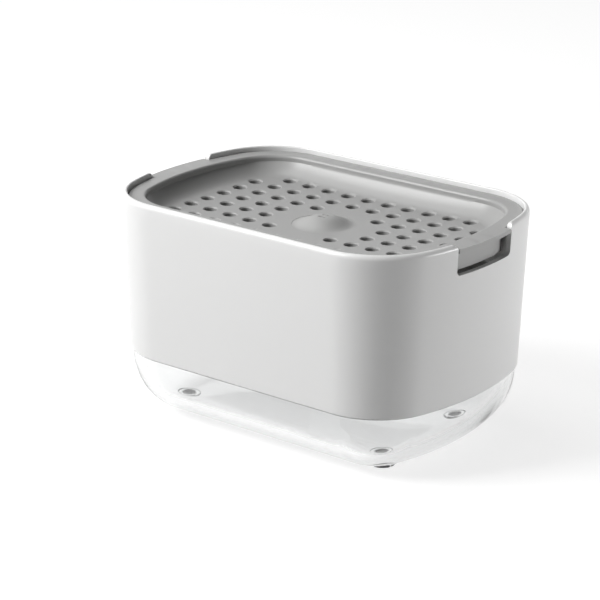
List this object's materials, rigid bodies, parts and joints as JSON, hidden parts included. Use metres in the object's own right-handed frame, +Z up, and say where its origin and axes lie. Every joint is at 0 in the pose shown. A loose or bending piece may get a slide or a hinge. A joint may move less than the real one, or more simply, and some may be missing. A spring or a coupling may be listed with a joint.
{
  "type": "soap dispenser",
  "caption": "Press-top dish soap dispenser: dished, perforated sponge plate in a tapered shell with notched ends, over a clear tank with a pump inside.",
  "frame": {"origin": "centre of the rectangle that the feet stand on, on the worktop, under the axis of the pump", "axes": "+X along the long side, +Y across it, away from the long face that the picture shows, +Z up along the pump's axis"},
  "size_m": [0.145, 0.1, 0.086],
  "materials": {
    "white_plastic": "smooth semi-gloss injection-moulded polypropylene",
    "natural_plastic": "uncoloured polypropylene",
    "grey_plastic": "satin moulded ABS",
    "grey_silicone": "soft satin silicone",
    "clear_plastic": "clear polished styrene acrylonitrile",
    "dark_rubber": "matt non-slip rubber",
    "sealing_silicone": "soft translucent silicone",
    "stainless_steel": "bright drawn stainless steel"
  },
  "bodies": {
    "base": {"tank": "clear_plastic", "foot_pad_1": "dark_rubber", "foot_pad_2": "dark_rubber", "foot_pad_3": "dark_rubber", "foot_pad_4": "dark_rubber"},
    "upper": {"outer_shell": "white_plastic", "drip_deck": "grey_plastic", "tank_gasket": "sealing_silicone", "pump_cylinder": "natural_plastic", "cylinder_gasket": "sealing_silicone", "lock_ring": "white_plastic", "stem_guide": "natural_plastic", "return_spring": "stainless_steel", "dip_tube": "natural_plastic"},
    "inlet_valve": {"inlet_ball": "stainless_steel"},
    "plunger": {"plunger_stem": "natural_plastic", "stem_plug": "natural_plastic"},
    "piston_sleeve": {"piston": "sealing_silicone"},
    "plate": {"press_plate": "grey_plastic", "outlet_dome": "grey_silicone"}
  },
  "joints": [
    {"name": "lift_off", "type": "slide", "parent": "base", "child": "upper", "axis": [0, 0, 1], "range_m": [0, 0.06]},
    {"name": "press", "type": "slide", "parent": "upper", "child": "plunger", "axis": [0, 0, -1], "range_m": [0, 0.0075], "stiffness_N_per_m": 600, "springref_m": -0.006, "deforming": ["return_spring"]},
    {"name": "piston_slip", "type": "slide", "parent": "plunger", "child": "piston_sleeve", "axis": [0, 0, 1], "range_m": [0, 0.0012]},
    {"name": "inlet_lift", "type": "slide", "parent": "upper", "child": "inlet_valve", "axis": [0, 0, 1], "range_m": [0, 0.0012]},
    {"name": "plate_lift", "type": "slide", "parent": "plunger", "child": "plate", "axis": [0, 0, 1], "range_m": [0, 0.03]}
  ]
}
